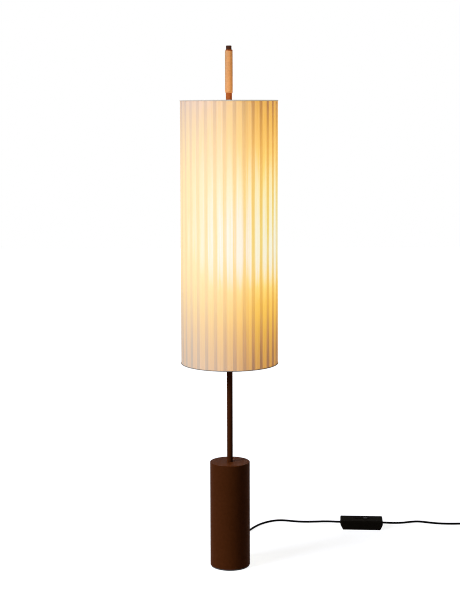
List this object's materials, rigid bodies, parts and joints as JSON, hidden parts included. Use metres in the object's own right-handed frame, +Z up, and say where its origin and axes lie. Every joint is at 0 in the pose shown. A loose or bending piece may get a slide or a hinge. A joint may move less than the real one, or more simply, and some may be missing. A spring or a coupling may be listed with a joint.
{
  "type": "floor lamp",
  "caption": "Slim floor lamp: weighted tube base, pole through a tall ribbon shade, cane-wrapped handle on top, cord with an inline slider dimmer.",
  "frame": {"origin": "centre of the base on the floor", "axes": "+Z up along the pole, +X to the right seen from the front, +Y to the back, where the cord leaves the base"},
  "size_m": [1.026, 0.66, 1.4645],
  "materials": {
    "base_paint": "satin",
    "pole_paint": "satin",
    "tip_paint": "satin",
    "ballast_iron": "matte",
    "plate_steel": "satin",
    "zinc_steel": "satin",
    "pad_felt": "matte",
    "gland_rubber": "matte",
    "cord_sheath": "satin",
    "lead_sleeve": "matte",
    "liner_leather": "matte",
    "cane": "satin",
    "frame_white": "satin",
    "bracket_paint": "satin",
    "ribbon": "matte",
    "hem": "matte",
    "holder_plastic": "satin",
    "holder_ceramic": "matte",
    "bulb_cap": "satin",
    "bulb_glass": "gloss",
    "dimmer_plastic": "satin",
    "dimmer_knob": "satin",
    "board": "matte",
    "tie_cloth": "matte",
    "plug_plastic": "satin",
    "pin_metal": "polished"
  },
  "bodies": {
    "root": {"base_shell": "base_paint", "base_ballast": "ballast_iron", "base_plate": "plate_steel", "base_pad": "pad_felt", "base_screws": "zinc_steel", "cord_gland": "gland_rubber", "pole_lower": "pole_paint", "pole_upper": "pole_paint", "pole_joiner": "zinc_steel", "pole_shoulder": "plate_steel", "pole_washer": "zinc_steel", "pole_nut": "zinc_steel", "pole_cap": "tip_paint", "inner_lead": "cord_sheath", "handle_liner": "liner_leather", "handle_wrap": "cane", "top_ring": "frame_white", "top_spider": "frame_white", "top_collar": "pole_paint", "bottom_ring": "frame_white", "bottom_spider": "frame_white", "bottom_collar": "pole_paint", "grub_screws": "zinc_steel", "shade_ribbons": "ribbon", "shade_hem_top": "hem", "shade_hem_bottom": "hem", "lamp_bracket": "bracket_paint", "holder_leads": "lead_sleeve", "up_holder_cap": "holder_plastic", "up_holder_skirt": "holder_plastic", "up_holder_insert": "holder_ceramic", "up_bulb_base": "bulb_cap", "up_bulb_globe": "bulb_glass", "down_holder_cap": "holder_plastic", "down_holder_skirt": "holder_plastic", "down_holder_insert": "holder_ceramic", "down_bulb_base": "bulb_cap", "down_bulb_globe": "bulb_glass", "dimmer_base": "dimmer_plastic", "dimmer_cover": "dimmer_plastic", "dimmer_board": "board", "dimmer_bushes": "gland_rubber", "dimmer_screws": "zinc_steel", "cord_to_dimmer": "cord_sheath", "cord_to_coil": "cord_sheath", "cord_coil": "cord_sheath", "cord_tail": "cord_sheath", "cord_tie": "tie_cloth", "plug_body": "plug_plastic", "plug_pins": "pin_metal"},
    "slider": {"dimmer_slider": "dimmer_knob"}
  },
  "joints": [
    {"name": "dimmer_slide", "type": "slide", "parent": "root", "child": "slider", "axis": [0.9976, -0.0698, 0], "range_m": [-0.0285, 0.0095]}
  ]
}
